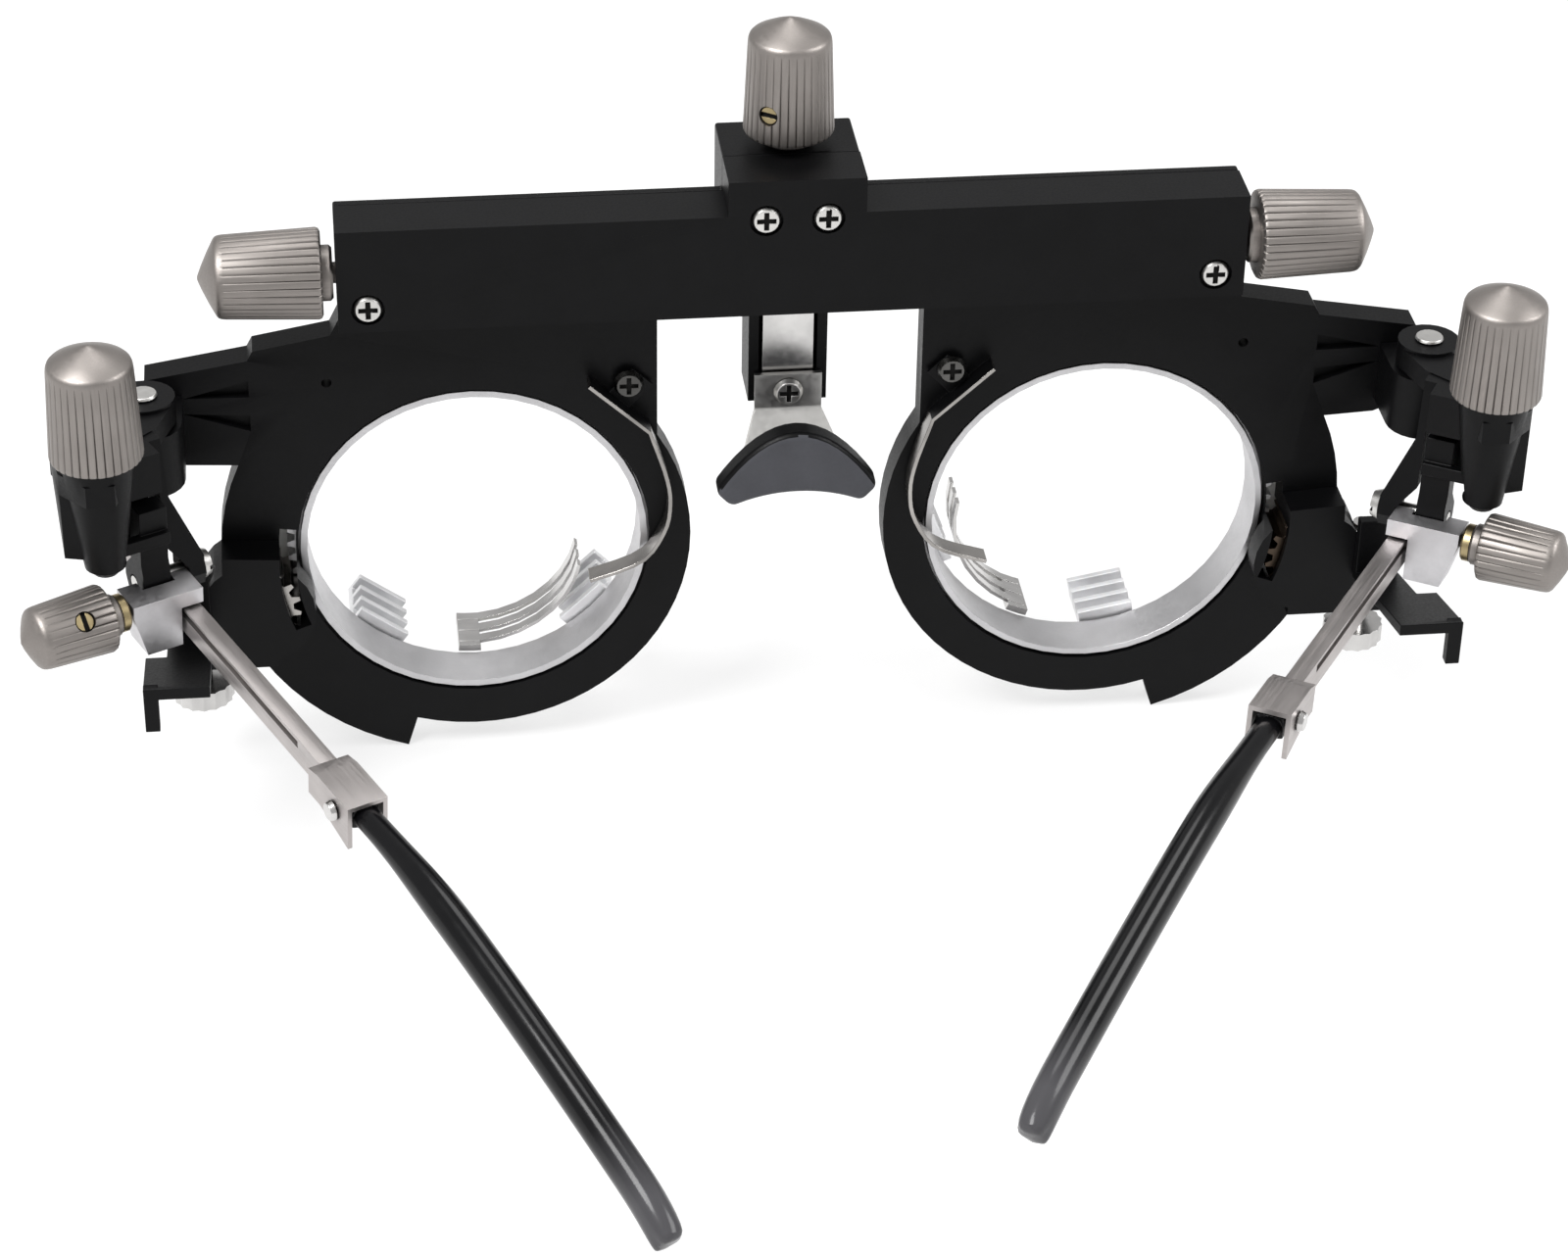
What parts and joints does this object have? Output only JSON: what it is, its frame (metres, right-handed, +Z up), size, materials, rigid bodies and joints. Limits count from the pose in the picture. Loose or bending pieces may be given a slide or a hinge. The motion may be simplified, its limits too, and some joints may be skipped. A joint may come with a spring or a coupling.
{
  "type": "optical trial frame",
  "caption": "Adjustable optical trial frame with two rotating lens cells, a height-adjustable nose rest and tilting temples.",
  "frame": {"origin": "middle of the crossbar's flat rear face, the face towards the wearer's forehead", "axes": "+X towards the right end of the crossbar seen from the wearer's side, +Y away from the wearer, +Z up"},
  "size_m": [0.1604, 0.116, 0.0839],
  "materials": {
    "black_plastic": "satin",
    "knob_aluminium": "brushed",
    "polished_steel": "polished",
    "brushed_steel": "brushed",
    "cell_aluminium": "satin",
    "brass": "polished",
    "dial_white": "matte",
    "pad_rubber": "matte",
    "hook_gloss": "gloss"
  },
  "bodies": {
    "crossbar": {"crossbar_housing": "black_plastic", "crossbar_front": "black_plastic", "left_bar_screw": "polished_steel", "right_bar_screw": "polished_steel", "left_bridge_screw": "polished_steel", "right_bridge_screw": "polished_steel"},
    "nose_knob": {"nose_knob": "knob_aluminium", "nose_knob_grub": "brass"},
    "nose_post": {"nose_post": "black_plastic", "nose_post_plate": "polished_steel", "nose_post_screw": "polished_steel"},
    "nose_rest": {"nose_pad_strip": "polished_steel", "nose_pad": "pad_rubber"},
    "right_distance_knob": {"right_distance_knob": "knob_aluminium"},
    "right_carrier": {"right_lens_carrier": "black_plastic", "right_retaining_spring": "polished_steel", "right_retaining_spring_screw": "polished_steel", "right_sight_plate": "black_plastic", "right_axis_dial": "dial_white", "right_hinge_pin": "polished_steel"},
    "right_cell": {"right_cell_ring": "cell_aluminium", "right_lens_clip_outer": "polished_steel", "right_lens_clip_inner": "polished_steel", "right_lens_leaf_spring": "polished_steel"},
    "right_idler": {"right_idler_gear": "brass"},
    "right_axis_wheel": {"right_axis_wheel": "polished_steel"},
    "right_bracket": {"right_temple_bracket": "black_plastic", "right_tilt_pivot_screw": "polished_steel"},
    "right_tilt_knob": {"right_tilt_knob": "knob_aluminium"},
    "right_temple_head": {"right_tilt_arm": "black_plastic", "right_temple_block": "brushed_steel"},
    "right_length_knob": {"right_length_knob": "knob_aluminium", "right_length_knob_grub": "brass"},
    "right_temple_bar": {"right_temple_bar": "brushed_steel", "right_ear_hook_screw": "polished_steel"},
    "right_ear_hook": {"right_ear_hook": "hook_gloss"},
    "left_distance_knob": {"left_distance_knob": "knob_aluminium"},
    "left_carrier": {"left_lens_carrier": "black_plastic", "left_retaining_spring": "polished_steel", "left_retaining_spring_screw": "polished_steel", "left_sight_plate": "black_plastic", "left_axis_dial": "dial_white", "left_hinge_pin": "polished_steel"},
    "left_cell": {"left_cell_ring": "cell_aluminium", "left_lens_clip_outer": "polished_steel", "left_lens_clip_inner": "polished_steel", "left_lens_leaf_spring": "polished_steel"},
    "left_idler": {"left_idler_gear": "brass"},
    "left_axis_wheel": {"left_axis_wheel": "polished_steel"},
    "left_bracket": {"left_temple_bracket": "black_plastic", "left_tilt_pivot_screw": "polished_steel"},
    "left_tilt_knob": {"left_tilt_knob": "knob_aluminium"},
    "left_temple_head": {"left_tilt_arm": "black_plastic", "left_temple_block": "brushed_steel"},
    "left_length_knob": {"left_length_knob": "knob_aluminium", "left_length_knob_grub": "brass"},
    "left_temple_bar": {"left_temple_bar": "brushed_steel", "left_ear_hook_screw": "polished_steel"},
    "left_ear_hook": {"left_ear_hook": "hook_gloss"}
  },
  "joints": [
    {"name": "nose_knob_turn", "type": "hinge", "parent": "crossbar", "child": "nose_knob", "pos_m": [0, 0.0088, 0.01], "axis": [0, 0, 1], "range_deg": [-1440.01, 540.01]},
    {"name": "nose_height", "type": "slide", "parent": "crossbar", "child": "nose_post", "axis": [0, 0, 1], "range_m": [-0.008, 0.003]},
    {"name": "nose_rest_swivel", "type": "hinge", "parent": "nose_post", "child": "nose_rest", "pos_m": [0, 0.0061, -0.0179], "axis": [0, 1, 0], "range_deg": [-8, 8]},
    {"name": "right_distance_knob_turn", "type": "hinge", "parent": "crossbar", "child": "right_distance_knob", "pos_m": [0.0476, 0.0025, 0], "axis": [1, 0, 0], "range_deg": [-900.01, 1080.01]},
    {"name": "right_pupil_distance", "type": "slide", "parent": "crossbar", "child": "right_carrier", "axis": [1, 0, 0], "range_m": [-0.005, 0.006]},
    {"name": "right_cell_turn", "type": "hinge", "parent": "right_carrier", "child": "right_cell", "pos_m": [0.0338, 0.0042, -0.0343], "axis": [0, 1, 0], "continuous": true},
    {"name": "right_idler_turn", "type": "hinge", "parent": "right_carrier", "child": "right_idler", "pos_m": [0.0573, 0.0042, -0.03951], "axis": [0, 1, 0], "continuous": true},
    {"name": "right_axis_wheel_turn", "type": "hinge", "parent": "right_carrier", "child": "right_axis_wheel", "pos_m": [0.06365, 0.0026, -0.0512], "axis": [0, 0, 1], "continuous": true},
    {"name": "right_temple_fold", "type": "hinge", "parent": "right_carrier", "child": "right_bracket", "pos_m": [0.0676, -0.0013, -0.0173], "axis": [0, 0, 1], "range_deg": [-3, 34.5]},
    {"name": "right_tilt_knob_turn", "type": "hinge", "parent": "right_bracket", "child": "right_tilt_knob", "pos_m": [0.07099, -0.01525, -0.0123], "axis": [0, 0, 1], "range_deg": [-360, 30]},
    {"name": "right_temple_tilt", "type": "hinge", "parent": "right_bracket", "child": "right_temple_head", "pos_m": [0.06592, -0.01006, -0.0275], "axis": [-0.8616, 0.5075, 0], "range_deg": [-12, 1]},
    {"name": "right_length_knob_turn", "type": "hinge", "parent": "right_temple_head", "child": "right_length_knob", "pos_m": [0.07013, -0.01652, -0.02759], "axis": [-0.8616, 0.5075, 0], "range_deg": [-802.15, 267.39]},
    {"name": "right_temple_length", "type": "slide", "parent": "right_temple_head", "child": "right_temple_bar", "axis": [-0.5048, -0.8569, 0.1045], "range_m": [-0.0105, 0.0035]},
    {"name": "right_ear_hook_turn", "type": "hinge", "parent": "right_temple_bar", "child": "right_ear_hook", "pos_m": [0.04178, -0.04927, -0.02548], "axis": [-0.8616, 0.5075, 0], "range_deg": [-18, 2]},
    {"name": "left_distance_knob_turn", "type": "hinge", "parent": "crossbar", "child": "left_distance_knob", "pos_m": [-0.0476, 0.0025, 0], "axis": [-1, 0, 0], "range_deg": [-900.01, 1080.01]},
    {"name": "left_pupil_distance", "type": "slide", "parent": "crossbar", "child": "left_carrier", "axis": [-1, 0, 0], "range_m": [-0.005, 0.006]},
    {"name": "left_cell_turn", "type": "hinge", "parent": "left_carrier", "child": "left_cell", "pos_m": [-0.0338, 0.0042, -0.0343], "axis": [0, 1, 0], "continuous": true},
    {"name": "left_idler_turn", "type": "hinge", "parent": "left_carrier", "child": "left_idler", "pos_m": [-0.0573, 0.0042, -0.03951], "axis": [0, 1, 0], "continuous": true},
    {"name": "left_axis_wheel_turn", "type": "hinge", "parent": "left_carrier", "child": "left_axis_wheel", "pos_m": [-0.06365, 0.0026, -0.0512], "axis": [0, 0, 1], "continuous": true},
    {"name": "left_temple_fold", "type": "hinge", "parent": "left_carrier", "child": "left_bracket", "pos_m": [-0.0676, -0.0013, -0.0173], "axis": [0, 0, -1], "range_deg": [-3, 30.5]},
    {"name": "left_tilt_knob_turn", "type": "hinge", "parent": "left_bracket", "child": "left_tilt_knob", "pos_m": [-0.07195, -0.01498, -0.0123], "axis": [0, 0, 1], "range_deg": [-60, 330]},
    {"name": "left_temple_tilt", "type": "hinge", "parent": "left_bracket", "child": "left_temple_head", "pos_m": [-0.06654, -0.01016, -0.0275], "axis": [-0.8949, -0.4462, 0], "range_deg": [-2, 11]},
    {"name": "left_length_knob_turn", "type": "hinge", "parent": "left_temple_head", "child": "left_length_knob", "pos_m": [-0.07121, -0.01624, -0.02819], "axis": [-0.8949, -0.4462, 0], "range_deg": [-305.59, 763.95]},
    {"name": "left_temple_length", "type": "slide", "parent": "left_temple_head", "child": "left_temple_bar", "axis": [0.4451, -0.8928, -0.0698], "range_m": [-0.004, 0.01]},
    {"name": "left_ear_hook_turn", "type": "hinge", "parent": "left_temple_bar", "child": "left_ear_hook", "pos_m": [-0.04824, -0.04484, -0.03305], "axis": [-0.8949, -0.4462, 0], "range_deg": [-18, 2]}
  ],
  "couplings": [
    {"joint": "nose_knob_turn", "follows": "nose_height", "rad_per_m": 3141.6},
    {"joint": "right_distance_knob_turn", "follows": "right_pupil_distance", "rad_per_m": 3141.6},
    {"joint": "right_idler_turn", "follows": "right_cell_turn", "ratio": -4.5},
    {"joint": "right_axis_wheel_turn", "follows": "right_cell_turn", "ratio": 12},
    {"joint": "right_temple_tilt", "follows": "right_tilt_knob_turn", "ratio": 0.033333},
    {"joint": "right_length_knob_turn", "follows": "right_temple_length", "rad_per_m": 1333.3},
    {"joint": "left_distance_knob_turn", "follows": "left_pupil_distance", "rad_per_m": 3141.6},
    {"joint": "left_idler_turn", "follows": "left_cell_turn", "ratio": -4.5},
    {"joint": "left_axis_wheel_turn", "follows": "left_cell_turn", "ratio": -12},
    {"joint": "left_temple_tilt", "follows": "left_tilt_knob_turn", "ratio": 0.033333},
    {"joint": "left_length_knob_turn", "follows": "left_temple_length", "rad_per_m": 1333.3}
  ]
}
